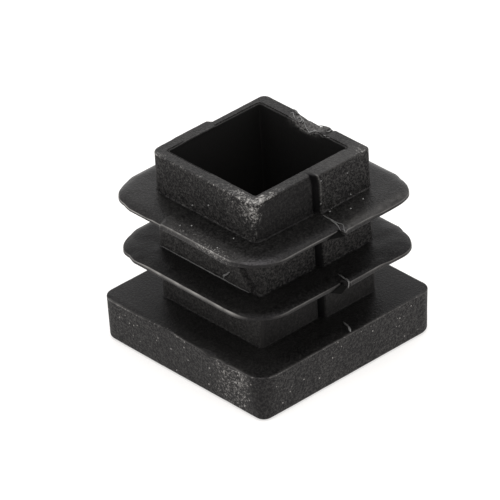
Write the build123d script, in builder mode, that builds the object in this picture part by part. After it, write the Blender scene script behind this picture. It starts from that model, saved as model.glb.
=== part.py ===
"""Square tube end cap: one hollow ribbed plug with a head plate, moulded in one piece.

The cap stands on the outer face of its head. The origin is the middle of that face, and +Z runs
up along the plug. The walls facing -Y and +X meet at the front corner, and those facing +X and +Y
at the right corner. The mould opened along Y, so the plug is two halves that meet at a parting
plane square to Y, slightly out of line in X.
Lengths are in millimetres and angles in degrees.
"""
import os
from math import radians, tan

from build123d import *

# Head plate, measured at the shoulder
HEAD_SIDE = 20.0
HEAD_THICKNESS = 4.1
HEAD_DRAFT = 0.7
HEAD_CORNER_RADIUS = 1.2
HEAD_FRONT_CORNER_RADIUS = 1.8
HEAD_BOTTOM_FILLET = 0.35
HEAD_TOP_CHAMFER = 0.1

# Stem, the square tube of the plug, from the shoulder to the rim
PLUG_LENGTH = 14.1
STEM_SIDE = 12.85
STEM_CORNER_RADIUS = 0.6
RIM_CHAMFER = 0.1

# Hollow, left by a core that stood a little off the stem's middle
WALL_X = 1.1
WALL_Y = 1.2
CORE_OFFSET_X = -0.15
CORE_OFFSET_Y = -0.07
CORE_DRAFT = 0.3
CORE_CORNER_RADIUS = 0.2
CORE_FLOOR_CHAMFER = 0.25
FLOOR_THICKNESS = 1.6
MOUTH_CHAMFER = 0.12

# Fins, each height measured from the shoulder to the upper side of the fin's edge
FIN_SIDE = 18.95
FIN_HEIGHTS = (4.84, 10.06)
FIN_EDGE_THICKNESS = 0.3
FIN_TOP_ANGLE = 5.6
FIN_UNDERSIDE_ANGLE = 7.4
FIN_CORNER_RADIUS = 3.6
FIN_RIGHT_CORNER_RADIUS = 3.2

# Mould mismatch: where the halves meet, how far out of line they are, how much larger the back
# half is from side to side, and how much further each half's fins reach on their +X side
PARTING_Y = 0.4
MISMATCH = 0.4
BACK_GROWTH = 0.1
FRONT_FIN_REACH = 0.1
BACK_FIN_REACH = 0.22

# Stepped patch between the fins: right of a leaning edge the front wall lies further in
PATCH_DEPTH = 0.35
PATCH_WIDTH = 0.8
PATCH_LEAN = 31.0

# Gate scar: the torn dip in the rim of the back wall, as places along the rim and depths there
GATE_LEFT = -2.4
GATE_KNEE = -1.3
GATE_DEEPEST = 0.6
GATE_RIGHT = 1.4
GATE_KNEE_DEPTH = 0.27
GATE_DEPTH = 0.36

# Worked out from the sizes above
SHOULDER_Z = HEAD_THICKNESS
RIM_Z = SHOULDER_Z + PLUG_LENGTH
FRONT_CORNER = Axis((0, 0, 0), (1, -1, 0))
RIGHT_CORNER = Axis((0, 0, 0), (1, 1, 0))
OVERCUT = 1.0


def lean(run, angle):
    """How far a face or line that leans by this angle moves aside over this run."""
    return run * tan(radians(angle))


def round_corners(outline, radius, odd_corner, odd_radius):
    """Round a square's corners, with another radius at the one furthest along an axis."""
    fillet(outline.vertices().sort_by(odd_corner)[-1], odd_radius)
    fillet(outline.vertices().sort_by(odd_corner)[:3], radius)


def make_head():
    """Plate with drafted sides and softened edges, widest at the shoulder."""
    with BuildPart() as head:
        with BuildSketch(Plane.XY.offset(SHOULDER_Z)) as outline:
            Rectangle(HEAD_SIDE, HEAD_SIDE)
            round_corners(outline, HEAD_CORNER_RADIUS, FRONT_CORNER, HEAD_FRONT_CORNER_RADIUS)
        extrude(amount=-HEAD_THICKNESS, taper=HEAD_DRAFT)
        fillet(head.faces().sort_by(Axis.Z)[0].edges(), HEAD_BOTTOM_FILLET)
        chamfer(head.faces().sort_by(Axis.Z)[-1].edges(), HEAD_TOP_CHAMFER)
    return head.part


def make_fin(height, shift, growth, extra_reach):
    """Thin square collar that thickens towards the stem and reaches further on its +X side."""
    side = FIN_SIDE + growth
    root_side = STEM_SIDE - WALL_X + growth
    edge_top = SHOULDER_Z + height
    edge_bottom = edge_top - FIN_EDGE_THICKNESS
    reach = (side - root_side) / 2
    root_bottom = edge_bottom - lean(reach, FIN_UNDERSIDE_ANGLE)
    root_top = edge_top + lean(reach, FIN_TOP_ANGLE)
    with BuildPart() as fin:
        with BuildSketch(Plane((shift, 0, root_bottom))):
            RectangleRounded(root_side, root_side, STEM_CORNER_RADIUS)
        for level in (edge_bottom, edge_top):
            with BuildSketch(Plane((shift + extra_reach / 2, 0, level))) as outline:
                Rectangle(side + extra_reach, side)
                round_corners(outline, FIN_CORNER_RADIUS, RIGHT_CORNER, FIN_RIGHT_CORNER_RADIUS)
        with BuildSketch(Plane((shift, 0, root_top))):
            RectangleRounded(root_side, root_side, STEM_CORNER_RADIUS)
        loft(ruled=True)
    return fin.part


def make_patch(shift):
    """Block to cut from the front wall between the fins, with one leaning side."""
    low = SHOULDER_Z + min(FIN_HEIGHTS)
    high = SHOULDER_Z + max(FIN_HEIGHTS) - FIN_EDGE_THICKNESS
    corner_x = shift + STEM_SIDE / 2
    low_x = corner_x - PATCH_WIDTH
    high_x = low_x - lean(high - low, PATCH_LEAN)
    outside = corner_x + OVERCUT
    wall_plane = Plane.XZ.offset(STEM_SIDE / 2 + OVERCUT)
    with BuildPart() as patch:
        with BuildSketch(wall_plane):
            with BuildLine():
                Polyline((low_x, low), (outside, low), (outside, high), (high_x, high), close=True)
            make_face()
        extrude(amount=-(OVERCUT + PATCH_DEPTH))
    return patch.part


def make_half(shift, growth, extra_reach, keep):
    """One half of the plug: stem and fins, cut off at the parting plane."""
    with BuildPart() as half:
        with BuildSketch(Plane((shift, 0, RIM_Z))):
            RectangleRounded(STEM_SIDE + growth, STEM_SIDE + growth, STEM_CORNER_RADIUS)
        extrude(amount=-(PLUG_LENGTH + OVERCUT))
        chamfer(half.faces().sort_by(Axis.Z)[-1].edges(), RIM_CHAMFER)
        add(make_patch(shift), mode=Mode.SUBTRACT)
        for fin_height in FIN_HEIGHTS:
            add(make_fin(fin_height, shift, growth, extra_reach))
        split(bisect_by=Plane.XZ.offset(-PARTING_Y), keep=keep)
    return half.part


def make_core():
    """The hollow: drafted, closed by the head's floor, with a chamfered mouth at the rim."""
    narrowing = lean(RIM_Z - FLOOR_THICKNESS, CORE_DRAFT)
    levels = (
        (FLOOR_THICKNESS, -narrowing - CORE_FLOOR_CHAMFER),
        (FLOOR_THICKNESS + CORE_FLOOR_CHAMFER, -narrowing),
        (RIM_Z - MOUTH_CHAMFER, 0),
        (RIM_Z + OVERCUT, MOUTH_CHAMFER + OVERCUT),
    )
    with BuildPart() as core:
        for height, growth in levels:
            with BuildSketch(Plane((CORE_OFFSET_X, CORE_OFFSET_Y, height))):
                RectangleRounded(
                    STEM_SIDE - 2 * WALL_X + 2 * growth,
                    STEM_SIDE - 2 * WALL_Y + 2 * growth,
                    CORE_CORNER_RADIUS,
                )
        loft(ruled=True)
    return core.part


def make_gate_dip():
    """The torn dip where the runner broke off the rim, cut right through the back wall."""
    with BuildPart() as dip:
        with BuildSketch(Plane.XZ):
            with BuildLine():
                Spline(
                    (GATE_LEFT, RIM_Z),
                    (GATE_KNEE, RIM_Z - GATE_KNEE_DEPTH),
                    (GATE_DEEPEST, RIM_Z - GATE_DEPTH),
                )
                Polyline(
                    (GATE_DEEPEST, RIM_Z - GATE_DEPTH),
                    (GATE_RIGHT, RIM_Z),
                    (GATE_RIGHT, RIM_Z + OVERCUT),
                    (GATE_LEFT, RIM_Z + OVERCUT),
                    (GATE_LEFT, RIM_Z),
                )
            make_face()
        extrude(amount=-(STEM_SIDE / 2 + OVERCUT))
    return dip.part


with BuildPart() as end_cap:
    add(make_head())
    add(make_half(-MISMATCH / 2, 0, FRONT_FIN_REACH, Keep.TOP))
    add(make_half(MISMATCH / 2, BACK_GROWTH, BACK_FIN_REACH, Keep.BOTTOM))
    add(make_core(), mode=Mode.SUBTRACT)
    add(make_gate_dip(), mode=Mode.SUBTRACT)

end_cap.part.label = "end_cap"
os.makedirs("parts", exist_ok=True)
export_step(end_cap.part, "parts/end_cap.step")
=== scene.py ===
"""Square tube end cap: one black moulded piece, drawn as a fine skin over its solid.

The skin is one closed surface. Its section is walked from the middle of the head's outer face, up
the outside, over the rim and down to the floor of the hollow, and each row of that walk is a
rounded square that the columns go round. Lengths are in millimetres until a mesh is made. The
walls facing -Y and +X meet at the front corner, and those facing +X and +Y at the right corner.
The mould opened along Y: its front half made the plug up to the parting line, and its back half
the rest.
"""
import math

import bpy
import numpy as np
from mathutils import Matrix, Vector


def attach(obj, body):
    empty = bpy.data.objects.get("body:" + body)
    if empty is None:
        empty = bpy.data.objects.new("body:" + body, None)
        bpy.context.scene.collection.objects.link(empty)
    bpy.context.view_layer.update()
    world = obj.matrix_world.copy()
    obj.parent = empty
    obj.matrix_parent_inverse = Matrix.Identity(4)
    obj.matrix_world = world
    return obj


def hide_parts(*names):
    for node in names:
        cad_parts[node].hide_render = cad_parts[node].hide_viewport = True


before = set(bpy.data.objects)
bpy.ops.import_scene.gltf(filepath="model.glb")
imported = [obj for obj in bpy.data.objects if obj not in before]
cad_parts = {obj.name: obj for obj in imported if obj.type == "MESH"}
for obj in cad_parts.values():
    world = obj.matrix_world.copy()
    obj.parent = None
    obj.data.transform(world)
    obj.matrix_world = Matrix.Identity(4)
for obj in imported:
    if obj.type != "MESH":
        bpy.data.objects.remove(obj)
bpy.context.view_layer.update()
NODE = "end_cap"
MM = 0.001

# Head plate
HEAD_HALF = 10.0
HEAD_THICKNESS = 4.1
HEAD_DRAFT = 0.05
HEAD_RADIUS = 1.2
HEAD_FRONT_RADIUS = 1.8
FOOT_FRONT_RADIUS = 0.95
FOOT_RIGHT_RADIUS = 1.45
HEAD_BOTTOM_ROUND = 0.35
HEAD_TOP_ROUND = 0.1

# Stem and its hollow
RIM_Z = 18.2
STEM_HALF = 6.425
STEM_RADIUS = 0.6
STEM_RIGHT_RADIUS = 0.35
STEM_LEFT_RADIUS = 1.0
STEM_FOOT_RADIUS = 0.3
RIM_ROUND = 0.12
CORE_HALF = (5.325, 5.225)
CORE_MIDDLE = (-0.15, -0.07)
CORE_NARROWING = 0.087
CORE_RADIUS = 0.2
FLOOR_Z = 1.6
FLOOR_ROUND = 0.25
MOUTH_ROUND = 0.06
MOUTH_GROOVE = 0.22
GROOVE_DEPTH = 0.12
LEDGE_DROP = 0.05

# Fins: the upper side of each edge, how thick the edge is and how the fin thickens to the stem.
# The crown is the power by which a fin's upper face bends down to its edge.
FIN_HALF = 9.475
FIN_EDGE_TOPS = (8.94, 14.16)
FIN_EDGE = 0.3
FIN_TOP_RISE = 0.29
CROWN = 6
FIN_UNDER_DROP = 0.4
FIN_RADIUS = 3.6
FIN_RIGHT_RADIUS = 3.2
FIN_ROUND = 0.08
ROOT_ROUND = 0.08
FOOT_ROUND = 0.06

# Mould mismatch: the step between the halves climbs along Y from its crease to its lip. The
# crease is deeper where the step faces +X, and the step hooks back at the rim.
MISMATCH = 0.4
CREASE_Y = 0.3
CREASE_DEPTH = 0.22
BACK_CREASE_DEPTH = 0.04
STEP_RUN = 0.33
STEP_LIP = 0.05
RIM_HOOK = 0.25
BACK_GROWTH = 0.05
BACK_FIN_GROWTH = 0.15

# How far the moulded fins stand out from their drawn outline, by the way that the edge faces, in
# degrees from +X towards +Y: the lower fin and the upper one
FACING = (0, 15, 30, 45, 60, 75, 90, 135, 180, 195, 210, 225, 240, 255, 270, 315, 360)
LOWER_FIN = (0.1, 0.19, 0.21, 0.11, -0.02, -0.13, 0.05, 0, -0.04, -0.19, -0.14, -0.09, -0.05,
             -0.27, -0.08, 0, 0.1)
UPPER_FIN = (0.1, 0.11, 0.16, 0.05, -0.1, -0.2, -0.04, 0, 0, -0.15, -0.11, 0.03, 0.07,
             -0.09, 0.05, 0, 0.1)

# Stepped patch between the fins: its leaning edge passes this place on the front-left wall
PATCH_DEPTH = 0.37
PATCH_GROOVE = 0.1
PATCH_LIP = 0.05
PATCH_X = 5.26
PATCH_Z = 9.29
PATCH_SLOPE = 0.615

# Gate scar: places along the rim of the back wall, and how far the torn rim lies below there
GATE_PLACES = (-2.7, -1.9, -1.53, -0.78, -0.04, 0.7, 1.08, 1.45, 1.82, 2.19, 2.57)
GATE_DEPTHS = (0, 0.15, 0.23, 0.32, 0.29, 0.36, 0.15, 0.08, 0.02, 0.14, 0)

# Heights that tell the walls and fins apart: between the fins, and just below the lower one
MID_Z = 12.0
LOW_Z = 8.5

# Where the burr on the upper fin's front-left edge stands, and the worn stretch starts
BURR_X = -2.2

# How far from the middle the skin may reach
WIDEST = HEAD_HALF - 0.002

# How much the plastic mirrors, as the shader's specular level, how pale its scuffs and painted
# highlights are, and how deep its grain is in metres
GLOSS = 0.17
SCUFF_AND_HIGHLIGHT_COLOUR = (0.46, 0.442, 0.42, 1.0)
GRAIN_DEPTH = 0.00009

# Columns round one corner of the skin, and how small its first and last rows are
CORNER_COLUMNS = 17
MIDDLE_SCALE = 0.06

# Bends of one leg of the section walk
STRAIGHT, CROWNED, FLAT_FIRST, STEEP_FIRST = range(4)

# Zones of the skin
BOTTOM, SIDE, SHOULDER, WALL, UNDERSIDE, EDGE, FIN_TOP, RIM, GROOVE, HOLLOW = range(10)


def eased(count):
    """Numbers from 0 up to 1, without the 1, closest at both ends: (1 - cos(pi t)) / 2."""
    return (1 - np.cos(np.pi * np.arange(count) / count)) / 2


def even(count):
    """Numbers from 0 up to 1, without the 1, one count-th apart."""
    return np.arange(count) / count


def smooth(value, low, high):
    """0 below low, 1 above high, and between them 3 t^2 - 2 t^3."""
    t = np.clip((value - low) / (high - low), 0, 1)
    return t * t * (3 - 2 * t)


def bell(value, middle, width):
    """A bell curve of height 1: exp(-((value - middle) / width)^2)."""
    return np.exp(-(((value - middle) / width) ** 2))


def axes(places):
    """The x, y and z of places, as views on them."""
    return places[..., 0], places[..., 1], places[..., 2]


def far_out(x, y):
    """How far a place is from the middle, square to the sides: the larger of |x| and |y|."""
    return np.maximum(np.abs(x), np.abs(y))


def noise(points, size, seed):
    """Smooth noise from -1 to 1. Cubes of this size get a number at each corner, hashed from the
    corner's place, and a point takes the mix of its eight corners by 3 t^2 - 2 t^3."""
    place = points / size
    corner = np.floor(place).astype(np.int64)
    t = place - corner
    t = t * t * (3 - 2 * t)
    total = np.zeros(points.shape[:-1])
    for step in np.ndindex(2, 2, 2):
        mixed = ((corner + step) * (73856093, 19349663, 83492791)).sum(axis=-1) + seed * 7919
        mixed = ((mixed ^ (mixed >> 13)) * 1274126177) & 0xFFFFFFFF
        mixed = ((mixed ^ (mixed >> 16)) * 668265263) & 0xFFFFFFFF
        mixed = (mixed ^ (mixed >> 15)) & 0xFFFF
        total += np.prod(np.where(step, t, 1 - t), axis=-1) * mixed / 0x8000
    return total - 1


def outline(half_x, half_y, radius, front=None, right=None, left=None, middle=(0.0, 0.0)):
    """A rounded rectangle in numbers: half sides, radii (front, right, back, left), middle."""
    radii = (front or radius, right or radius, radius, left or radius)
    return np.array([half_x, half_y, *radii, *middle])


def grown(shape, amount):
    """The outline with its half sides and radii that much larger. No radius falls below 0.02."""
    larger = shape + np.array([1, 1, 1, 1, 1, 1, 0, 0]) * amount
    larger[2:6] = np.maximum(larger[2:6], 0.02)
    return larger


class Section:
    """Rows of the skin: outline, height, scale about the middle, share of the plug, zone."""

    def __init__(self, shape, height, scale, plug):
        self.now = (shape, height, scale, plug)
        self.rows = []

    def go(self, count, shape, height, zone, bend=STRAIGHT, scale=1.0, plug=1.0):
        """Goes on to another outline and height in this count of rows, by a straight line, a
        crown or a quarter of an arc. A crown moves aside by t and up by 1 - (1 - t)^CROWN. An arc
        that starts flat moves aside by sin(a) and up by 1 - cos(a), and a steep one the reverse."""
        if bend in (STRAIGHT, CROWNED):
            aside = up = eased(count)
            if bend == CROWNED:
                up = 1 - (1 - aside) ** CROWN
        else:
            angle = even(count) * np.pi / 2
            aside, up = np.sin(angle), 1 - np.cos(angle)
            if bend == STEEP_FIRST:
                aside, up = up, aside
        was_shape, was_height, was_scale, was_plug = self.now
        self.rows.append(np.column_stack([
            was_shape + (shape - was_shape) * aside[:, None],
            was_height + (height - was_height) * up,
            was_scale + (scale - was_scale) * aside,
            was_plug + (plug - was_plug) * aside,
            np.full(count, zone),
        ]))
        self.now = (shape, height, scale, plug)


def walk_section():
    """The whole section of the cap, from the middle of its underside to the floor of its hollow."""
    head = outline(HEAD_HALF, HEAD_HALF, HEAD_RADIUS, front=HEAD_FRONT_RADIUS)
    foot = outline(HEAD_HALF - HEAD_DRAFT, HEAD_HALF - HEAD_DRAFT, HEAD_RADIUS,
                   front=FOOT_FRONT_RADIUS, right=FOOT_RIGHT_RADIUS)
    stem = outline(STEM_HALF, STEM_HALF, STEM_RADIUS, right=STEM_RIGHT_RADIUS,
                   left=STEM_LEFT_RADIUS)
    base = outline(STEM_HALF, STEM_HALF, STEM_FOOT_RADIUS, left=STEM_LEFT_RADIUS)
    mouth = outline(*CORE_HALF, CORE_RADIUS, middle=CORE_MIDDLE)
    well = grown(mouth, -CORE_NARROWING)

    section = Section(grown(foot, -HEAD_BOTTOM_ROUND), 0.0, MIDDLE_SCALE, 0.0)
    section.go(8, grown(foot, -HEAD_BOTTOM_ROUND), 0.0, BOTTOM, plug=0.0)
    section.go(8, foot, HEAD_BOTTOM_ROUND, SIDE, FLAT_FIRST, plug=0.0)
    section.go(26, head, HEAD_THICKNESS - HEAD_TOP_ROUND, SIDE, plug=0.0)
    section.go(5, grown(head, -HEAD_TOP_ROUND), HEAD_THICKNESS, SHOULDER, STEEP_FIRST, plug=0.0)
    section.go(16, grown(base, FOOT_ROUND), HEAD_THICKNESS, SHOULDER)
    section.go(4, base, HEAD_THICKNESS + FOOT_ROUND, WALL, FLAT_FIRST)
    for top in FIN_EDGE_TOPS:
        low = top - FIN_EDGE
        fin = outline(FIN_HALF, FIN_HALF, FIN_RADIUS, right=FIN_RIGHT_RADIUS)
        section.go(20, stem, low - FIN_UNDER_DROP - ROOT_ROUND, WALL)
        section.go(4, grown(stem, ROOT_ROUND), low - FIN_UNDER_DROP, WALL, STEEP_FIRST)
        section.go(14, grown(fin, -FIN_ROUND), low, UNDERSIDE)
        section.go(4, fin, low + FIN_ROUND, EDGE, FLAT_FIRST)
        section.go(4, fin, top - FIN_ROUND, EDGE)
        section.go(4, grown(fin, -FIN_ROUND), top, EDGE, STEEP_FIRST)
        section.go(22, grown(stem, ROOT_ROUND), top + FIN_TOP_RISE, FIN_TOP, CROWNED)
        section.go(4, stem, top + FIN_TOP_RISE + ROOT_ROUND, WALL, FLAT_FIRST)
    section.go(24, stem, RIM_Z - RIM_ROUND, WALL)
    section.go(5, grown(stem, -RIM_ROUND), RIM_Z, RIM, STEEP_FIRST)
    section.go(9, grown(mouth, MOUTH_GROOVE), RIM_Z, RIM, plug=0.0)
    section.go(3, grown(mouth, MOUTH_GROOVE - 0.03), RIM_Z - GROOVE_DEPTH, GROOVE, plug=0.0)
    section.go(4, grown(mouth, MOUTH_ROUND), RIM_Z - LEDGE_DROP, GROOVE, FLAT_FIRST, plug=0.0)
    section.go(4, mouth, RIM_Z - LEDGE_DROP - MOUTH_ROUND, RIM, FLAT_FIRST, plug=0.0)
    section.go(26, well, FLOOR_Z + FLOOR_ROUND, HOLLOW, plug=0.0)
    section.go(4, grown(well, -FLOOR_ROUND), FLOOR_Z, HOLLOW, STEEP_FIRST, plug=0.0)
    section.go(9, grown(well, -FLOOR_ROUND), FLOOR_Z, HOLLOW, scale=MIDDLE_SCALE, plug=0.0)
    return np.concatenate(section.rows)


def patch_edge(height):
    """Where the patch's leaning edge crosses a height: x falls by the slope as z grows."""
    return PATCH_X - PATCH_SLOPE * (np.clip(height, 9.0, 13.9) - PATCH_Z)


def go_round(rows):
    """Places and outward directions of every column on every row. A side runs straight between
    its two corner arcs, through stops at fixed places, and a point of an arc is its centre plus
    the radius times (cos a, sin a) in the side's own directions. Each leg of a side has its
    number of columns, the place where it stops and the spacing of its columns."""
    half, radii, middle = rows[:, 0:2], rows[:, 2:6], rows[:, 6:8]
    edge = patch_edge(rows[:, 8])
    sides = (
        ((18, -0.6, eased), (40, 1.05, even), (16, None, eased)),
        ((8, -2.9, eased), (54, 2.9, even), (8, None, eased)),
        ((12, -0.95, eased), (16, 0.1, even), (12, None, eased)),
        ((12, -2.6, eased), (10, -1.8, even), (14, edge - 0.14, eased), (14, edge + 0.3, even),
         (8, None, eased)),
    )
    places, facings = [], []
    for k, legs in enumerate(sides):
        out = np.array([(1, 0), (0, 1), (-1, 0), (0, -1)][k])
        along = np.array([(0, 1), (-1, 0), (0, -1), (1, 0)][k])
        reach, span = half[:, k % 2], half[:, (k + 1) % 2]
        radius = radii[:, (k + 1) % 4]
        start, end = radii[:, k] - span, span - radius
        fit = np.minimum(1, end / (STEM_HALF - STEM_RADIUS))
        for count, stop, spacing in legs:
            goal = end if stop is None else np.minimum(stop * fit, end - 0.02)
            run = start[:, None] + (goal - start)[:, None] * spacing(count)
            places.append(reach[:, None, None] * out + run[..., None] * along)
            facings.append(np.broadcast_to(out, places[-1].shape))
            start = goal
        angle = even(CORNER_COLUMNS)[:, None] * np.pi / 2
        turn = np.cos(angle) * out + np.sin(angle) * along
        centre = (reach - radius)[:, None] * out + (span - radius)[:, None] * along
        places.append(centre[:, None] + radius[:, None, None] * turn)
        facings.append(np.broadcast_to(turn, places[-1].shape))
    flat = np.concatenate(places, axis=1) * rows[:, 9][:, None, None] + middle[:, None]
    height = np.broadcast_to(rows[:, 8][:, None, None], flat.shape[:2] + (1,))
    return np.concatenate([flat, height], axis=2), np.concatenate(facings, axis=1)


def rim_hook(height):
    """How far the step between the halves hooks back towards the front half close to the rim."""
    return RIM_HOOK * bell(height, RIM_Z, 0.55)


def step_span(places):
    """Where the step between the halves starts along Y, and how long its slope is. On the +X side
    it hooks back towards the front half at the rim and near the edge of a fin, where it is also
    steeper. On the -X side it lies nearer the front half."""
    x, height = places[..., 0], places[..., 2]
    at_edge = smooth(x, 8.4, 9.3)
    hook = np.where(height > MID_Z, 0.2, 0.15) * at_edge
    longer = np.where(height > MID_Z, -0.22, 0.09) * at_edge
    start = CREASE_Y - 0.2 * (x < 0) - rim_hook(height) * (x > 0) - hook
    return start, STEP_RUN + longer


def edge_top(upper):
    """The drawn height of the upper side of a fin's edge."""
    return np.where(upper, FIN_EDGE_TOPS[1], FIN_EDGE_TOPS[0])


def edge_rise(x, y, upper):
    """How much higher than drawn the upper side of a fin's edge lies along its straight sides."""
    left = smooth(-y, 8.6, 9.2)
    right = smooth(x, 8.6, 9.2)
    back = smooth(y, 0.25, 0.55)
    low = 0.13 * left * smooth(x, -6.0, -4.0) * (1 - smooth(x, 6.0, 7.5))
    low = low + (0.08 + 0.06 * bell(y, 0.0, 1.2)) * right * (1 - back) * smooth(y, -7.0, -5.5)
    low = low + 0.15 * right * back * (1 - smooth(y, 4.0, 5.6))
    high = 0.17 * left * smooth(x, BURR_X - 0.1, BURR_X + 0.2) * (1 - smooth(x, 7.5, 8.8))
    high = high - 0.07 * left * (1 - smooth(x, -3.9, -3.2))
    high = high + 0.15 * right * back * (1 - smooth(y, 2.5, 5.0))
    return np.where(upper, high, low)


def shift_halves(places, facing, plug, zone):
    """Moves the front half of the plug towards -X and the back half towards +X. Between them the
    wall climbs in a straight slope, with a crease at its foot and a thin raised lip. Gives how far
    up the slope each place is, and how much painted shade falls in and beside the crease and on
    the slope's face, on the walls facing +X."""
    y = places[..., 1]
    right = facing[..., 0] > 0
    start, run = step_span(places)
    climb = np.clip((y - start) / run, 0, 1)
    outward = facing[..., 0] * plug
    foot = np.where(right, start, start + run)
    lip = np.where(right, start + run, start)
    on_wall = np.isin(zone, (WALL, EDGE, RIM))
    places[..., 0] += plug * MISMATCH * (climb - 0.5) + outward * BACK_GROWTH * climb
    # Painted shade from just before the crease up to just before the lip, on the walls facing +X
    crease_shade = np.where(right, smooth(y, foot - 0.25, foot - 0.02), 0)
    crease_shade = crease_shade * (1 - smooth(y, lip - 0.12, lip - 0.02)) * on_wall * plug
    depth = np.where(right, CREASE_DEPTH, BACK_CREASE_DEPTH)
    places[..., 0] -= outward * on_wall * depth * bell(y, foot - 0.03, 0.13)
    places[..., 0] += outward * on_wall * STEP_LIP * bell(y, lip + 0.04, 0.045)
    places[..., 1] += plug * BACK_GROWTH * np.maximum(facing[..., 1], 0)
    return climb, crease_shade * np.maximum(facing[..., 0], 0)


def shape_fins(places, facing, zone, climb):
    """Moves each fin's edge in or out by its table, and less towards the stem: the amount for the
    way that the edge faces, times how far out the place is. Its upper side rises by edge_rise.
    The roots are off by a little: along the front-left wall the upper fin's lies higher and the
    lower one's lower, and on the front half's other wall both lie lower."""
    x, y, z = axes(places.copy())
    turn = np.degrees(np.arctan2(facing[..., 1], facing[..., 0])) % 360
    upper = z > MID_Z
    table = np.where(upper, np.interp(turn, FACING, UPPER_FIN), np.interp(turn, FACING, LOWER_FIN))
    table = table + BACK_FIN_GROWTH * climb * np.maximum(facing[..., 0], 0) ** 2
    share = np.clip((far_out(x, y) - 6.5) / 2.9, 0, 1)
    share = share * np.isin(zone, (UNDERSIDE, EDGE, FIN_TOP))
    places[..., :2] += (table * share)[..., None] * facing
    bow = 0.05 * share * (z < MID_Z) * smooth(x, 8.6, 9.2) * smooth(y, 0.4, 0.8)
    places[..., 0] -= bow * (1 - smooth(y, 4.0, 5.6))
    top = edge_top(upper)
    height = np.clip((z - top) / FIN_EDGE + 1, 0, 1)
    places[..., 2] += edge_rise(x, y, upper) * share**CROWN * height
    foot = top + FIN_TOP_RISE
    above = (zone == WALL) * (z > foot - 0.01) * (1 - smooth(z, foot, foot + 1.5))
    inner = (zone == FIN_TOP) * (1 - share)
    lift = np.where(upper, 0.05, -0.06) * smooth(-y, 5.0, 6.4)
    lift = lift - 0.07 * bell(y, -1.2, 2.0) * (x > 0)
    places[..., 2] += lift * (above + inner)


def sink_patch(places, zone):
    """Sets the front-left wall back, right of the leaning edge between the fins: y is held at the
    patch's depth past the edge, with a groove along the foot of the step and a lip along its
    brow, each a bell curve across the edge."""
    x, y, z = axes(places)
    between = (zone == WALL) & (z > FIN_EDGE_TOPS[0]) & (z < FIN_EDGE_TOPS[1])
    past = x - patch_edge(z)
    depth = PATCH_DEPTH * smooth(past, -0.02, 0.07) + PATCH_GROOVE * bell(past, 0.12, 0.07)
    sunk = np.maximum(y, depth - STEM_HALF)
    raised = PATCH_LIP * bell(past, -0.06, 0.05) * smooth(-y, 6.3, 6.42)
    places[..., 1] = np.where(between, sunk - raised, y)


def fill_groove(places, zone):
    """Fills the groove round the mouth along the two near walls and the front half of the left
    one, where the core's seat left none: there its places rise to the rim."""
    x, y, z = axes(places)
    on_left = (x < 0) * np.maximum(smooth(y, 0.0, 0.2), smooth(-y, 3.4, 3.8))
    kept = np.maximum(smooth(y, 4.7, 5.0), on_left)
    brow = (zone == RIM) * np.clip((z - RIM_Z + LEDGE_DROP + MOUTH_ROUND) / MOUTH_ROUND, 0, 1)
    rise = (1 - kept) * ((zone == GROOVE) + brow * (z < RIM_Z - LEDGE_DROP + 0.01))
    places[..., 2] += rise * (RIM_Z - z)


def tear_gate(places):
    """Lowers the rim of the back wall by the scar's depths, fading out below, and roughens it."""
    x, y, z = axes(places)
    near = smooth(y, 4.4, 4.9) * smooth(z, RIM_Z - 0.9, RIM_Z - 0.05)
    torn = smooth(x, -2.4, -1.4) * (1 - smooth(x, 1.2, 2.2))
    rough = noise(places, 0.45, 3) * 0.6 + noise(places, 0.16, 4) * 0.25
    inward = smooth(-y, -6.4, -5.2)
    depth = np.interp(x, GATE_PLACES, GATE_DEPTHS) * (1 + 0.35 * inward)
    depth = depth * (1 - inward * (1 - smooth(x, -1.3, -0.5)))
    places[..., 2] -= near * (depth + torn * 0.07 * (rough + 0.4))
    places[..., 1] += near * torn * 0.03 * noise(places, 0.3, 5)
    return near * torn


def wave_fins(places, drawn, facing, zone):
    """Waves the fins up and down and nibbles their edges by noise. The upper fin's front-left
    edge gets a burr, which is a bell curve along X, and hangs lower in its thicker stretch."""
    x, y, z = axes(drawn)
    out = far_out(x, y)
    on_fin = np.isin(zone, (UNDERSIDE, EDGE, FIN_TOP)) * smooth(out, 6.6, FIN_HALF)
    ripple = noise(places * (1, 1, 0.2), 0.9, 19) * (1 - smooth(out, 9.0, FIN_HALF))
    places[..., 2] += (zone == FIN_TOP) * ripple * np.where(z > MID_Z, 0.012, 0.035)
    places[..., 2] += on_fin * 0.05 * noise(places, 4.3, 13)
    nibble = 0.025 * noise(places, 1.7, 14) + 0.006 * noise(places, 0.35, 17)
    places[..., :2] += (on_fin * nibble)[..., None] * facing
    upper = on_fin * (z > MID_Z)
    burr = upper * (zone == EDGE) * bell(x, BURR_X + 0.1, 0.13) * smooth(-y, 9.3, 9.4)
    thick = upper * smooth(x, BURR_X - 0.05, BURR_X + 0.2) * (1 - smooth(x, 5.0, 7.5))
    thick = thick * smooth(-y, 8.6, 9.4)
    places[..., 1] -= 0.1 * burr + 0.03 * thick
    under = thick * (zone != FIN_TOP) * smooth(FIN_EDGE_TOPS[1] - z, 0.0, 0.25)
    places[..., 2] -= (0.1 + 0.09 * bell(x, 5.4, 1.3)) * under


def chip_head(places, drawn, zone):
    """Chips the upper edge of the head's front-left side: its bevel goes back in one bell curve,
    and the edge drops in two places and towards the left corner."""
    x, y, z = axes(drawn)
    by_edge = np.isin(zone, (SIDE, SHOULDER)) * bell(z, HEAD_THICKNESS, 0.16)
    brink = by_edge * smooth(-y, 9.6, 9.85)
    bevel = by_edge * (zone == SHOULDER) * smooth(-y, 8.8, 9.85)
    places[..., 1] += 0.26 * bell(x, -2.0, 1.25) * bevel
    drop = 0.27 * smooth(x, 2.3, 3.2) * (1 - smooth(x, 3.3, 4.9)) + 0.11 * bell(x, 5.6, 0.45)
    drop = drop + 0.11 * smooth(-x, 4.3, 5.5)
    places[..., 2] -= drop * brink * (x < 8.6)


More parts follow.
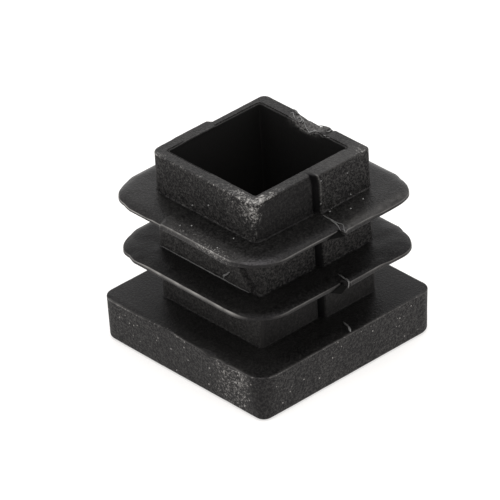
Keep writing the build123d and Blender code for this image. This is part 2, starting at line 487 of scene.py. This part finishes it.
def bruise_corner(places, drawn, facing):
    """Dents the rim's front corner by a bell curve of how far each place is from it, and gives
    how bruised each one is."""
    x, y, z = axes(drawn)
    far = np.sqrt((x - 6.1) ** 2 + (y + 6.3) ** 2 + (z - RIM_Z) ** 2)
    bruise = bell(far, 0, 0.7) * (0.6 + 0.4 * noise(places, 0.25, 16))
    places[..., 2] -= 0.1 * bruise
    places[..., :2] -= (0.06 * bruise)[..., None] * facing
    return bruise


def weather(places, facing, zone):
    """The unevenness of the moulding and its wear: shallow sinks in the walls, wavy fins, uneven
    flats, a crumbly rim, the head's chipped edge and the rim's bruised corner. Gives how bruised
    each place is."""
    drawn = places.copy()
    wall = np.isin(zone, (SIDE, WALL, HOLLOW))
    sink = 0.02 * noise(places, 3.1, 11) + 0.008 * noise(places, 0.9, 12)
    places[..., :2] += (wall * sink)[..., None] * facing
    wave_fins(places, drawn, facing, zone)
    flat = np.isin(zone, (SHOULDER, RIM, GROOVE, FIN_TOP))
    places[..., 2] += flat * (0.008 * noise(places, 1.1, 15) - 0.004)
    crumbs = np.isin(zone, (RIM, GROOVE)) * 0.014 * noise(places, 0.25, 18)
    places[..., :2] += crumbs[..., None] * facing
    chip_head(places, drawn, zone)
    return bruise_corner(places, drawn, facing)


def scuffed(places, zone):
    """How worn each place is, from 0 to 1: the edges a little, the rim's and the head's front
    corners and the upper fin's front-left edge much more. Each mark is a product of smooth steps
    and bell curves, and a place takes the strongest one."""
    x, y, z = axes(places)
    stem = np.isin(zone, (WALL, RIM)) * (z > 14.8)
    along_left = smooth(-y, 5.2, 5.7) * smooth(x, 0.0, 6.5)
    along_right = smooth(x, 5.0, 5.5) * smooth(-y, 1.5, 6.0)
    rim = (zone == RIM) * np.maximum(along_left, along_right) * 0.8
    outer_edge = bell(z, RIM_Z - 0.07, 0.1) * stem
    brow = outer_edge * smooth(-y, 6.1, 6.3) * (0.35 + 0.35 * smooth(x, -2.0, 4.0))
    left_end = outer_edge * smooth(-y, 5.6, 6.2) * (1 - smooth(x, -5.4, -4.4)) * 0.75
    wall = stem * smooth(-y, 6.2, 6.35) * smooth(x + 0.9 * (z - RIM_Z), -2.0, 6.5) * 0.6
    wall = wall * smooth(z, 14.6, 17.6)
    corner = stem * bell(np.hypot(x - 6.1, y + 6.3), 0, 0.75) * smooth(z, 14.5, 18.0) * 0.75
    right_end = stem * bell(np.hypot(x - 6.4, y - 5.6), 0, 0.8) * smooth(z, 17.75, 18.15) * 0.42
    step = stem * bell(y, 0.65 - rim_hook(z), 0.05) * (x > 6) * 0.2

    stretch = smooth(x, 1.2, 3.2) * (1 - smooth(x, 6.3, 7.4))
    thick = (zone == EDGE) * (z > MID_Z) * smooth(x, BURR_X - 0.2, BURR_X + 0.2)
    thick = thick * smooth(-y, 8.6, 9.3) * (0.12 + 0.5 * stretch)
    thick = thick * (0.5 + 0.5 * smooth(z, 13.92, 14.13))
    band = (zone == FIN_TOP) * (z > MID_Z) * smooth(-y, 7.6, 9.4) * smooth(x, BURR_X - 0.2, 0.5)
    band = band * (1 - smooth(x, 6.0, 8.5)) * (0.22 + 0.16 * stretch * smooth(-y, 8.6, 9.4))

    head = (zone == SIDE) * smooth(x, 3.0, 5.6) * (1 - smooth(x, 7.8, 8.9)) * smooth(-y, 9.4, 9.8)
    head = head * (0.36 + 0.16 * smooth(z, 0.5, 3.5))
    brim = (zone == SHOULDER) * (z < HEAD_THICKNESS - 0.005) * 0.3
    marks = [rim, brow, left_end, wall, corner, right_end, step, thick, band, head, brim]
    return np.maximum.reduce(marks)


def wall_tone(x, y, z):
    """How pale the stem's walls are, and how grainy: smoother below the lower fin, and on the
    front half of the right wall above the upper one. Between the fins the wall facing -Y is
    painted paler than the one facing +X: painted light, as if more of it came from the left."""
    lit_flank = smooth(-y, 6.0, 6.2)
    low = z < LOW_Z
    low_right = low * (x > 6.1)
    front_half = (z > 14) * (x > 6.1) * (y < 0.3)
    left = np.where(low, 0.018 + 0.004 * smooth(x, -2.0, 4.0), 0.026)
    # Painted light: the wall facing -Y paler below the upper fin
    pale = np.where(z < 13, lit_flank * left, 0) + 0.003 * front_half
    pale = pale + low_right * (0.014 + 0.009 * smooth(y, -5.0, -2.0))
    return pale, 0.9 - 0.55 * front_half - 0.6 * low_right - 0.35 * low * lit_flank


def edge_tone(places, upper):
    """How pale the fins' edges are: a painted highlight, a bell curve across the edge near its
    upper side, strongest along the front-left side and faint round the front corner, and a little
    wear along the upper fin's front-left edge."""
    x, y, z = axes(places)
    low = edge_top(upper) - FIN_EDGE
    broad = 0.2 + 0.3 * ~upper * smooth(x, -7.0, 0.0) * smooth(-y, 8.0, 9.0)
    # Painted highlight: a pale line along the upper side of each fin's edge
    line = bell((z - low) / (FIN_EDGE + edge_rise(x, y, upper)), 0.98, broad)
    left = smooth(-y, 7.5, 9.2)
    on_left = np.where(upper, np.where(x < BURR_X, 0.42, 0.26), 0.55)
    highlight_strength = np.where(left > 0.5, on_left, 0.16 * smooth(x, 7.0, 9.0) + 0.03)
    highlight_strength = highlight_strength * smooth(np.hypot(x - 8.3, y + 8.3), 0.8, 3.0)
    highlight_strength = highlight_strength * (1 + 0.5 * noise(places, 0.5, 41))
    worn = (1 - smooth(x, 1.0, 7.0)) * (x > BURR_X) * left * upper
    return 0.006 + line * highlight_strength + 0.025 * worn + 0.012 * ~upper * smooth(x, 8.8, 9.2)


def flat_tone(places, zone, upper):
    """How pale the shoulder and the fins' faces are: the upper fin paler towards its left and
    right corners and along its two near edges, and the shoulder paler by the stem."""
    x, y, z = axes(places)
    corners = np.clip((np.abs(x + y) - 9) / 6, 0, 1)
    # Painted shade and light: shoulder and lower fin darker towards +X, lower fin paler towards -X,
    # as if more light came from the left
    lower = 0.011 - 0.011 * smooth(x, 7.0, 9.0) + 0.004 * smooth(-x, 5.5, 8.0) * (z > 8)
    flat = np.where(upper, 0.001 + 0.017 * corners, lower) - 0.006 * upper * smooth(y, 3.0, 7.0)
    by_stem = smooth(-y, 6.3, 6.5) * (1 - smooth(-y, 7.2, 8.2))
    band = smooth(x, 8.7, 9.5) * (0.015 + 0.03 * smooth(y, 0.4, 0.8))
    band = band + 0.03 * smooth(-y, 7.6, 9.4) * (x > BURR_X - 0.2)
    band = band * (zone == FIN_TOP) * upper * (1 + 0.9 * noise(places, 0.22, 43))
    return flat + 0.005 * (zone == SHOULDER) * by_stem + band


def finish_marks(places, zone, drawn):
    """How grainy, how polished and how pale each place is. A painted highlight runs along the lip
    of the step and another along the head's upper edge, each a bell curve across it."""
    x, y, z = axes(places)
    upper = z > MID_Z
    # Painted highlights: along the step's lip, and along the head's upper edge, stronger towards
    # the left end of its front-left side
    lip = bell(y, 0.66 - rim_hook(z), 0.045) * (x > 6.4) * smooth(z, 15.2, 16.6)
    brow = bell(drawn, HEAD_THICKNESS - 0.05, 0.05) * (1 + 0.7 * noise(places, 0.6, 44))
    brow = brow * (1 + 1.3 * smooth(-x, 5.6, 6.2) * smooth(-y, 9.5, 9.8))
    wall, wall_grain = wall_tone(x, y, z)
    rim = 0.013 + 0.025 * smooth(x, 4.8, 5.2) * smooth(y, 0.6, 2.0) + 0.006 * smooth(-x, 3.0, 6.0)
    outer = (zone == SHOULDER) * (far_out(x, y) > 9.8)
    flat = flat_tone(places, zone, upper) + 0.09 * brow * outer
    patchy = 1 + 0.25 * noise(places, 2.6, 51) - 0.28 * bell(x, -0.5, 3.0) * smooth(-y, 9.6, 9.8)
    side_grain = (0.88 - 0.4 * bell(np.hypot(x - 9.7, y + 9.7), 0, 1.1)) * patchy

    zones = [zone == BOTTOM, zone == SIDE, zone == WALL, zone == HOLLOW,
             np.isin(zone, (RIM, GROOVE)), zone == EDGE]
    bodies = [0.03, 0.001 + 0.09 * brow, wall + 0.14 * lip, 0.018, rim + 0.14 * lip,
              edge_tone(places, upper)]
    return {
        "grain": np.select(zones[:5], [0.04, side_grain, wall_grain, 0.0, 0.45], 0.25),
        "polish": np.select(zones, [0.1, 0.15, 0.0, 0.2, 0.8, 0.5], np.where(upper, 1.0, 0.6)),
        "body": np.select(zones, bodies, flat),
    }


def make_skin():
    """The whole skin as a grid of places, and the marks that its finish reads. The crease of the
    step between the halves and the slope's face have none of them, so they stay dark: painted
    shade."""
    rows = walk_section()
    places, facing = go_round(rows)
    plug = rows[:, 10][:, None]
    zone = np.broadcast_to(rows[:, 11][:, None], places.shape[:2])
    wear = scuffed(places, zone)
    fill_groove(places, zone)
    sink_patch(places, zone)
    climb, crease_shade = shift_halves(places, facing, plug, zone)
    shape_fins(places, facing, zone, climb)
    torn = tear_gate(places)
    bruise = weather(places, facing, zone)
    places[..., 2] = np.clip(places[..., 2], 0.0, RIM_Z)
    places[..., :2] = np.clip(places[..., :2], -WIDEST, WIDEST)
    marks = finish_marks(places, zone, rows[:, 8][:, None])
    marks["wear"] = np.maximum(wear, bruise)
    # Painted shade: the crease and the slope's face lose their grain, paleness and wear
    marks = {mark: values * (1 - crease_shade) for mark, values in marks.items()}
    marks["torn"] = torn
    return places, marks


def flowing(points, count):
    """A smooth path through a few points: between two of them the cubic that leaves each one
    along the line between its neighbours. The first and last point have mirrored neighbours."""
    points = np.array(points, float)
    padded = np.concatenate([2 * points[:1] - points[1:2], points, 2 * points[-1:] - points[-2:-1]])
    place = np.linspace(0, len(points) - 1, count)
    i = np.minimum(place.astype(int), len(points) - 2)
    t = (place - i)[:, None]
    a, b, c, d = (padded[i + k] for k in range(4))
    return 0.5 * (2 * b + (c - a) * t + (2 * a - 5 * b + 4 * c - d) * t**2
                  + (3 * b - a - 3 * c + d) * t**3)


def bead(points, width, height, up=(0, 0, 1), count=40, around=8, seed=0):
    """A thread carried along a smooth path. Its section is an ellipse, width cos(a) to the side
    and height sin(a) up, which swells from nothing at each end by sin(pi t)^0.4 and wanders a
    little by noise."""
    path = flowing(points, count)
    path = path + 0.02 * np.stack([noise(path, 0.4, seed + k) for k in range(3)], axis=1)
    ahead = np.gradient(path, axis=0)
    ahead /= np.linalg.norm(ahead, axis=1, keepdims=True)
    side = np.cross(np.array(up, float), ahead)
    side /= np.linalg.norm(side, axis=1, keepdims=True)
    rise = np.cross(ahead, side)
    t = (np.arange(count) + 0.5) / count
    swell = (np.sin(np.pi * t) ** 0.4 * (1 + 0.35 * noise(path, 0.3, seed + 9)))[:, None, None]
    angle = (even(around) * 2 * np.pi)[None, :, None]
    ring = side[:, None] * width * np.cos(angle) + rise[:, None] * height * np.sin(angle)
    places = path[:, None] + ring * swell
    places[..., 2] = np.minimum(places[..., 2], RIM_Z)
    return places


def closed_surface(name, grids, marks=None):
    """A mesh of closed surfaces. Each grid's rows are joined by quads, its columns go round, and
    a fan to the middle of the first row and of the last one closes it. Faces point outwards where
    the columns turn left round the way that the rows go."""
    points, quads, fans, base = [], [], [], 0
    for grid in grids:
        rows, columns = grid.shape[:2]
        index = base + np.arange(rows * columns).reshape(rows, columns)
        nxt = np.roll(index, -1, axis=1)
        quads.append(np.stack([index[:-1], nxt[:-1], nxt[1:], index[1:]], axis=-1).reshape(-1, 4))
        first, last = base + rows * columns, base + rows * columns + 1
        fans.append(np.stack([np.full(columns, first), nxt[0], index[0]], axis=-1))
        fans.append(np.stack([np.full(columns, last), index[-1], nxt[-1]], axis=-1))
        points += [grid.reshape(-1, 3), grid[0].mean(axis=0)[None], grid[-1].mean(axis=0)[None]]
        base = last + 1
    points, quads, fans = (np.concatenate(part) for part in (points, quads, fans))
    mesh = bpy.data.meshes.new(name)
    mesh.vertices.add(len(points))
    mesh.vertices.foreach_set("co", (points * MM).ravel())
    mesh.loops.add(quads.size + fans.size)
    mesh.loops.foreach_set("vertex_index", np.concatenate([quads.ravel(), fans.ravel()]))
    mesh.polygons.add(len(quads) + len(fans))
    starts = [np.arange(len(quads)) * 4, quads.size + np.arange(len(fans)) * 3]
    mesh.polygons.foreach_set("loop_start", np.concatenate(starts))
    mesh.update(calc_edges=True)
    mesh.validate()
    mesh.shade_smooth()
    for mark, values in (marks or {}).items():
        values = np.concatenate([values.ravel(), [values[0].mean(), values[-1].mean()]])
        mesh.attributes.new(mark, "FLOAT", "POINT").data.foreach_set("value", values)
    return mesh


def place_piece(name, mesh, finish):
    """Makes a piece of the mesh, rides it on the cap and gives it its finish."""
    piece = bpy.data.objects.new(name, mesh)
    bpy.context.scene.collection.objects.link(piece)
    mesh.materials.append(finish)
    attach(piece, "root")
    return piece


class Reading:
    """A number that a shader socket gives. Sums on it add Math nodes to its recipe."""

    def __init__(self, recipe, socket):
        self.recipe = recipe
        self.socket = socket

    def maths(self, operation, *terms):
        """A Math node on these terms."""
        return self.recipe.node("Math", {"operation": operation}, dict(enumerate(terms)))

    def __add__(self, other):
        return self.maths("ADD", self, other)

    def __radd__(self, other):
        return self.maths("ADD", other, self)

    def __sub__(self, other):
        return self.maths("SUBTRACT", self, other)

    def __rsub__(self, other):
        return self.maths("SUBTRACT", other, self)

    def __mul__(self, other):
        return self.maths("MULTIPLY", self, other)

    def __rmul__(self, other):
        return self.maths("MULTIPLY", other, self)

    def over(self, low, high):
        """0 below low, 1 above high, and a smooth climb between them."""
        settings = {"interpolation_type": "SMOOTHSTEP"}
        return self.recipe.node("MapRange", settings, {0: self, 1: low, 2: high, 3: 0.0, 4: 1.0})


class Recipe:
    """A material's nodes."""

    def __init__(self, name):
        self.material = bpy.data.materials.new(name)
        self.material.use_nodes = True
        self.nodes = self.material.node_tree.nodes
        self.links = self.material.node_tree.links
        self.nodes.clear()

    def node(self, kind, settings=(), sockets=(), output=0):
        """Adds a node: its settings first, then the values or links of its sockets."""
        made = self.nodes.new("ShaderNode" + kind)
        for setting, value in dict(settings).items():
            setattr(made, setting, value)
        for socket, value in dict(sockets).items():
            if isinstance(value, Reading):
                self.links.new(value.socket, made.inputs[socket])
            else:
                made.inputs[socket].default_value = value
        return Reading(self, made.outputs[output])

    def mix(self, share, first, second):
        """A colour between two others."""
        settings = {"data_type": "RGBA"}
        return self.node("Mix", settings, {0: share, 6: first, 7: second}, output=2)

    def finish(self, **sockets):
        """The plastic itself, and the material's end."""
        sockets = {key.replace("_", " "): value for key, value in sockets.items()}
        shader = self.node("BsdfPrincipled", {}, sockets)
        end = self.nodes.new("ShaderNodeOutputMaterial")
        self.links.new(shader.socket, end.inputs[0])
        return self.material


def grey(value):
    """A neutral colour of this brightness."""
    return (value, value * 0.985, value * 0.97, 1.0)


def black_plastic():
    """Black moulded plastic: spark-eroded walls, smoother shoulder and fins, pale scuffs, dust,
    and the painted highlights and painted shade that the body mark carries.
    """
    recipe = Recipe("black_moulded_plastic")
    place = recipe.node("VectorRotate", {"rotation_type": "EULER_XYZ"},
                        {0: recipe.node("TexCoord", output=3), 4: (0.5, 0.7, 0.3)})
    grain, polish, body, wear, torn = (
        recipe.node("Attribute", {"attribute_name": mark}, output=2)
        for mark in ("grain", "polish", "body", "wear", "torn")
    )
    grit = recipe.node("TexNoise", {}, {"Vector": place, "Scale": 4600.0, "Detail": 3.0,
                                        "Roughness": 0.6})
    fine = recipe.node("TexNoise", {}, {"Vector": place, "Scale": 11000.0, "Detail": 1.0})
    cloud = recipe.node("TexNoise", {}, {"Vector": place, "Scale": 1900.0, "Detail": 2.0})

    salt = grain * (grit + 0.6 * fine).over(0.64, 1.06) * (0.5 + cloud)
    worn = wear * (2.2 * cloud - 0.1)
    scuffs = (worn + 2.2 * (grit - 0.5) + 1.2 * (fine - 0.5)).over(0.38, 1.4)
    scuffs = scuffs * worn.over(0.0, 0.2)
    tear = torn * (grit * 1.6 - 0.45).over(0.0, 1.0)
    cells = {"Vector": place, "Scale": 2200.0, "Randomness": 1.0}
    mote = recipe.node("TexVoronoi", {}, cells)
    lot = recipe.node("SeparateColor", {}, {0: recipe.node("TexVoronoi", {}, cells, output=1)})
    dust = (1 - mote.over(0.1, 0.2)) * lot.over(0.72, 0.76) * grain.over(0.46, 0.6)
    dust = dust * polish.over(0.08, 0.14)

    # body holds the plastic's tone together with painted highlights and painted shade; the rest is
    # grain, wear, tear and dust
    pale = body + salt * 0.12 + scuffs * 0.8 + worn * 0.03 + tear * 0.28 + dust * 0.6
    colour = recipe.mix(pale, grey(0.002), SCUFF_AND_HIGHLIGHT_COLOUR)
    rough = 0.62 - 0.32 * polish + 0.12 * (grit - 0.5) + 0.2 * scuffs
    height = grit * (0.2 + grain) + fine * 0.3 * (0.2 + grain) + scuffs * 0.3
    bump = recipe.node("Bump", {}, {"Strength": 1.0, "Distance": GRAIN_DEPTH, "Height": height})
    return recipe.finish(Base_Color=colour, Roughness=rough, Normal=bump,
                         Specular_IOR_Level=GLOSS, Specular_Tint=(1.0, 0.95, 1.0, 1.0))


def torn_plastic():
    """Stretched threads and lips, thin enough to look grey."""
    recipe = Recipe("torn_plastic_edges")
    place = recipe.node("TexCoord", output=3)
    grain = recipe.node("TexNoise", {}, {"Vector": place, "Scale": 5000.0, "Detail": 2.0})
    colour = recipe.mix(grain, grey(0.04), grey(0.30))
    bump = recipe.node("Bump", {}, {"Strength": 1.0, "Distance": 0.00001, "Height": grain})
    return recipe.finish(Base_Color=colour, Roughness=0.3 + 0.2 * grain, Normal=bump,
                         Specular_IOR_Level=GLOSS)


def flash_plastic():
    """The thin raised lines that the mould's joints left, and the burrs of the gate scar."""
    recipe = Recipe("flash_lines")
    place = recipe.node("TexCoord", output=3)
    grain = recipe.node("TexNoise", {}, {"Vector": place, "Scale": 3000.0, "Detail": 2.0})
    colour = recipe.mix(grain, grey(0.02), grey(0.16))
    return recipe.finish(Base_Color=colour, Roughness=0.28 + 0.2 * grain,
                         Specular_IOR_Level=GLOSS)


def on_fin(x, y, top):
    """A place on a fin's upper face, on the back half's +X side where it reaches furthest: the
    height falls from root to edge by the crown's power of the way out."""
    root, run = STEM_HALF + 0.28, FIN_HALF - STEM_HALF + 0.17
    crown = (max(x - root, 0) / run) ** CROWN
    rise = float(edge_rise(x, y, top > MID_Z))
    return (x, y, top + FIN_TOP_RISE * (1 - crown) + rise * crown + 0.01)


def make_flash():
    """Flash lines: three across the upper fin, two across the lower one and one across the
    shoulder. A fin's line has its fin's height, its width and the places that it passes."""
    low, high = FIN_EDGE_TOPS
    paths = (
        (high, 0.045, ((7.02, 0.44), (8.16, 0.42), (8.73, 0.47), (9.26, 0.62))),
        (high, 0.06, ((8.0, 0.4), (8.72, 0.28), (9.26, 0.11), (9.66, -0.02))),
        (high, 0.055, ((9.2, 0.64), (9.5, 0.48), (9.71, 0.32), (9.9, 0.2))),
        (low, 0.035, ((8.4, 0.55), (8.75, 0.52), (9.1, 0.48), (9.5, 0.44))),
        (low, 0.06, ((9.35, 0.56), (9.6, 0.5), (9.86, 0.42))),
    )
    grids = [bead([on_fin(x, y, top) for x, y in path], width, 0.06, seed=20 + 10 * k)
             for k, (top, width, path) in enumerate(paths)]
    on_shoulder = ((8.23, 1.07, 4.11), (8.70, 0.93, 4.12), (9.07, 0.85, 4.12), (9.49, 0.62, 4.11))
    grids.append(bead(on_shoulder, 0.08, 0.06, seed=40))
    return closed_surface("flash_lines", grids)


def make_lip():
    """The raised lip along the foot of the front-left wall above the lower fin, with its curl, a
    curl in the lower fin's notch and the bright tip of the shoulder's flash line."""
    z = FIN_EDGE_TOPS[0] + FIN_TOP_RISE - 0.05
    lip = ((-5.9, -6.5, z - 0.02), (-3.0, -6.52, z), (0.0, -6.52, z + 0.01),
           (3.0, -6.52, z + 0.02), (5.05, -6.5, z + 0.02))
    curl = ((2.0, -6.5, 9.3), (2.08, -6.56, 9.62), (2.4, -6.58, 9.88), (2.81, -6.52, 10.3))
    notch = ((9.86, 0.46, 9.2), (9.91, 0.4, 9.05), (9.93, 0.35, 8.8), (9.9, 0.28, 8.56))
    tip = ((9.05, 0.86, 4.13), (9.32, 0.71, 4.14), (9.60, 0.56, 4.13), (9.82, 0.44, 4.10))
    return closed_surface("wall_foot_lip", [
        bead(lip, 0.05, 0.05, count=120, seed=50),
        bead(curl, 0.1, 0.06, up=(0, -1, 0.3), seed=60),
        bead(notch, 0.07, 0.04, up=(1, 0, 0), seed=65),
        bead(tip, 0.08, 0.06, seed=66),
    ])


def make_shade_flaps():
    """A near-black, dull sheet of painted shade that hangs over each fin's edge where its front
    half ends, standing in for the shade under that end: a thin plate along Y, an ellipse across,
    between an upper and a lower line given by places."""
    lines = (
        ((-1.2, -0.1, 0.1, 0.6), (8.58, 7.95, 8.0, 8.33), (8.62, 8.88, 8.92, 8.42)),
        ((-1.35, 0.05, 0.2, 0.62), (13.84, 13.47, 13.42, 13.36), (13.88, 14.24, 14.2, 13.44)),
    )
    out, thin = 9.42, 0.03
    angle = even(12) * 2 * np.pi
    grids = []
    for stops, lows, highs in lines:
        y = np.linspace(stops[0], stops[-1], 28)[:, None]
        low, high = np.interp(y, stops, lows), np.interp(y, stops, highs)
        z = (high + low) / 2 + (high - low) / 2 * np.cos(angle)
        x = np.broadcast_to(out + thin * np.sin(angle), z.shape)
        grids.append(np.stack([x, np.broadcast_to(y, z.shape), z], axis=-1))
    return closed_surface("fin_shade_flaps", grids)


def make_burrs():
    """The two burrs that stand up from the outer edge of the gate scar. Each has its height, its
    width and the places that it passes."""
    paths = (
        (18.1, 0.1, ((-2.85, 6.3), (-2.7, 6.42), (-2.5, 6.45), (-2.18, 6.35), (-1.87, 6.2))),
        (18.08, 0.06, ((0.77, 6.06), (0.91, 6.25), (1.11, 6.35), (1.43, 6.44), (1.72, 6.46),
                       (1.93, 6.39), (2.06, 6.25))),
    )
    grids = [bead([(x, y, z) for x, y in path], width, 0.06, seed=170 + 10 * k)
             for k, (z, width, path) in enumerate(paths)]
    return closed_surface("gate_burrs", grids)


def make_gate_threads():
    """Threads and curls of torn plastic across the gate scar. Each has its height, its width and
    the places that it passes."""
    paths = (
        (18.16, 0.04, ((-2.36, 5.78), (-2.3, 6.04), (-2.0, 5.82), (-1.62, 5.58), (-1.31, 5.51))),
        (18.07, 0.05, ((-1.37, 5.64), (-1.5, 5.87), (-1.42, 6.03), (-1.08, 5.9), (-0.85, 5.61),
                       (-0.99, 5.48))),
        (18.02, 0.07, ((-1.22, 6.0), (-0.81, 5.84), (-0.7, 5.59))),
        (17.9, 0.03, ((-0.8, 5.94), (-0.37, 5.61), (0.21, 5.28), (0.6, 5.14))),
        (17.82, 0.08, ((0.45, 5.17), (0.67, 5.16), (0.72, 5.35), (0.82, 5.6), (0.95, 5.9))),
        (18.13, 0.045, ((1.91, 5.89), (2.11, 5.9), (2.17, 6.02), (2.14, 6.26), (2.17, 6.41))),
        (18.12, 0.04, ((2.23, 5.29), (2.51, 5.32))),
        (18.1, 0.04, ((2.7, 5.2), (2.76, 5.34), (2.95, 5.36))),
    )
    grids = [bead([(x, y, z) for x, y in path], width, width * 0.8, seed=70 + 10 * k)
             for k, (z, width, path) in enumerate(paths)]
    return closed_surface("gate_threads", grids)


def make_specks():
    """Pale specks of dust lying on the upper fin and on the walls, each a short fat bead."""
    size = 0.055
    places = ((5.51, -3.99, 14.47), (7.05, 1.24, 14.48), (8.01, 2.72, 14.47), (7.67, 4.49, 14.48),
              (-0.65, -8.68, 14.39), (0.18, -8.11, 14.45), (4.17, -8.89, 14.36),
              (4.22, -7.09, 14.48), (6.68, 3.71, 16.95), (6.68, 0.71, 17.55), (6.68, 0.6, 15.36),
              (6.68, 3.98, 14.75), (-1.5, -6.45, 15.0), (0.56, -6.45, 15.88))
    ends = [((x - 0.05, y - 0.04, z - 0.01), (x + 0.05, y + 0.03, z + 0.02)) for x, y, z in places]
    grids = [bead(pair, size, size, count=9, seed=200 + 10 * k) for k, pair in enumerate(ends)]
    return closed_surface("dust_specks", grids)


def plain_material(name, colour, roughness, gloss=0.5, glow=0.0):
    """One even colour, which may also shine a little, as the floor does."""
    recipe = Recipe(name)
    return recipe.finish(Base_Color=colour, Roughness=roughness, Specular_IOR_Level=gloss,
                         Emission_Color=grey(1.0), Emission_Strength=glow)


def set_stage():
    """A plain pale floor and a uniform white surround, with one soft lamp overhead. The floor
    lies a hair under the cap, so their faces don't fight when seen from below."""
    half = 0.6
    under = -0.00001
    mesh = bpy.data.meshes.new("floor")
    corners = [(x * half, y * half, under) for x, y in ((-1, -1), (1, -1), (1, 1), (-1, 1))]
    mesh.from_pydata(corners, [], [(0, 1, 2, 3)])
    mesh.materials.append(plain_material("white_floor", grey(0.45), 0.7, glow=0.6))
    floor = bpy.data.objects.new("floor", mesh)
    bpy.context.scene.collection.objects.link(floor)

    world = bpy.data.worlds.new("white_surround")
    world.use_nodes = True
    back = world.node_tree.nodes["Background"]
    back.inputs["Color"].default_value = (1.0, 1.0, 1.0, 1.0)
    back.inputs["Strength"].default_value = 0.95
    bpy.context.scene.world = world

    light = bpy.data.lights.new("overhead_panel", "AREA")
    light.shape = "SQUARE"
    light.size = 0.3
    light.energy = 2.7
    lamp = bpy.data.objects.new("overhead_panel", light)
    lamp.location = (0.0, 0.0, 0.7)
    bpy.context.scene.collection.objects.link(lamp)


def set_camera():
    """The photograph's view: a long lens from the front corner, tipped 3 degrees to one side."""
    azimuth, elevation, roll = (math.radians(angle) for angle in (48.462, 32.117, -3.081))
    distance = 525.273
    anchor = Vector((0, 0, 10))
    aside, below = 1.16, 1.506
    right = Vector((math.cos(azimuth), math.sin(azimuth), 0))
    back = Vector((math.sin(azimuth) * math.cos(elevation),
                   -math.cos(azimuth) * math.cos(elevation), math.sin(elevation)))
    up = back.cross(right)
    turned_right = right * math.cos(roll) + up * math.sin(roll)
    turned_up = up * math.cos(roll) - right * math.sin(roll)
    place = anchor + back * distance
    target = anchor - turned_right * aside - turned_up * below
    behind = (place - target).normalized()
    side = turned_up.cross(behind).normalized()
    above = behind.cross(side)
    data = bpy.data.cameras.new("camera")
    data.sensor_width = 36.0
    data.lens = 448.4
    camera = bpy.data.objects.new("camera", data)
    turn = Matrix((side, above, behind)).transposed().to_4x4()
    camera.matrix_world = Matrix.Translation(place * MM) @ turn
    bpy.context.scene.collection.objects.link(camera)
    bpy.context.scene.camera = camera


set_camera()
set_stage()
bpy.context.scene.view_settings.view_transform = "Standard"
skin_places, skin_marks = make_skin()
skin_mesh = closed_surface("cap_skin", [skin_places], skin_marks)
skin = place_piece("cap_skin", skin_mesh, black_plastic())
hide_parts(NODE)
place_piece("flash_lines", make_flash(), flash_plastic())
place_piece("wall_foot_lip", make_lip(), torn_plastic())
# Near-black and dull: painted shade for the sheets under the ends of the fins' front halves
shade = plain_material("painted_shade_plastic", grey(0.004), 0.9, gloss=0.04)
place_piece("fin_shade_flaps", make_shade_flaps(), shade)
place_piece("gate_burrs", make_burrs(), flash_plastic())
place_piece("gate_threads", make_gate_threads(), torn_plastic())
place_piece("dust_specks", make_specks(), plain_material("pale_dust", grey(0.22), 0.9))
